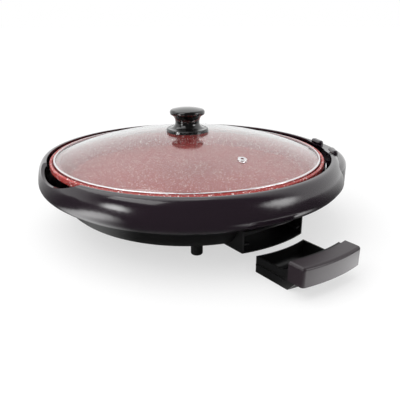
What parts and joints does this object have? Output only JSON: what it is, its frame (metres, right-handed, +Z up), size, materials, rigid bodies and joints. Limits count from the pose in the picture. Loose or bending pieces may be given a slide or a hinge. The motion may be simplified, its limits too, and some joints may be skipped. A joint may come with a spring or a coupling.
{
  "type": "electric grill pan",
  "caption": "Round electric grill pan on a footed base, with a domed glass lid, lift-out pan with heating element, plug inlet and a grease tray below.",
  "frame": {"origin": "the point on the table under the centre of the pan", "axes": "+Z up along the axis of the pan; -Y is the way the grease tray is drawn out; -X points to the finger scoop"},
  "size_m": [0.413, 0.4706, 0.1558],
  "materials": {
    "clear_glass": "clear tempered",
    "rim_steel": "polished band",
    "small_steel": "plain",
    "plate_steel": "plain sheet",
    "plate_aluminium": "plain sheet",
    "element_steel": "dark sheath",
    "pin_metal": "plated",
    "white_ceramic": "unglazed",
    "seal_rubber": "matt",
    "foot_rubber": "matt",
    "pan_coating": "red non-stick coating with fine light specks",
    "knob_plastic": "gloss black",
    "housing_gloss": "plum-black gloss",
    "base_plastic": "satin black",
    "tray_plastic": "satin black",
    "handle_plastic": "plum-black satin gloss"
  },
  "bodies": {
    "housing": {"housing_ring": "housing_gloss", "inlet_guard": "housing_gloss", "lower_base": "base_plastic", "tray_guide": "base_plastic", "drain_spout": "plate_aluminium", "reflector_plate": "plate_aluminium", "reflector_screws": "small_steel", "pan_supports": "plate_steel", "support_pads": "seal_rubber", "foot_back_right": "foot_rubber", "foot_back_left": "foot_rubber", "foot_front_left": "foot_rubber", "foot_front_right": "foot_rubber", "foot_screws": "small_steel", "housing_screws": "small_steel", "guide_screws": "small_steel"},
    "pan_unit": {"pan": "pan_coating", "heating_element": "element_steel", "element_clips": "small_steel", "terminal_bracket": "plate_steel", "bracket_screws": "small_steel", "terminal_pins": "pin_metal", "terminal_bushes": "white_ceramic", "probe_tube": "small_steel"},
    "lid": {"lid_glass": "clear_glass", "lid_rim": "rim_steel", "steam_vent": "small_steel", "lid_knob": "knob_plastic", "knob_gasket": "seal_rubber", "knob_washer": "small_steel", "knob_screw": "small_steel"},
    "tray": {"drip_tray": "tray_plastic", "tray_handle": "handle_plastic", "handle_screws": "small_steel"}
  },
  "joints": [
    {"name": "pan_lift", "type": "slide", "parent": "housing", "child": "pan_unit", "axis": [0, 0, 1], "range_m": [0, 0.06]},
    {"name": "lid_lift", "type": "slide", "parent": "pan_unit", "child": "lid", "axis": [0, 0, 1], "range_m": [0, 0.08]},
    {"name": "tray_slide", "type": "slide", "parent": "housing", "child": "tray", "axis": [0, 1, 0], "range_m": [0, 0.039]}
  ]
}
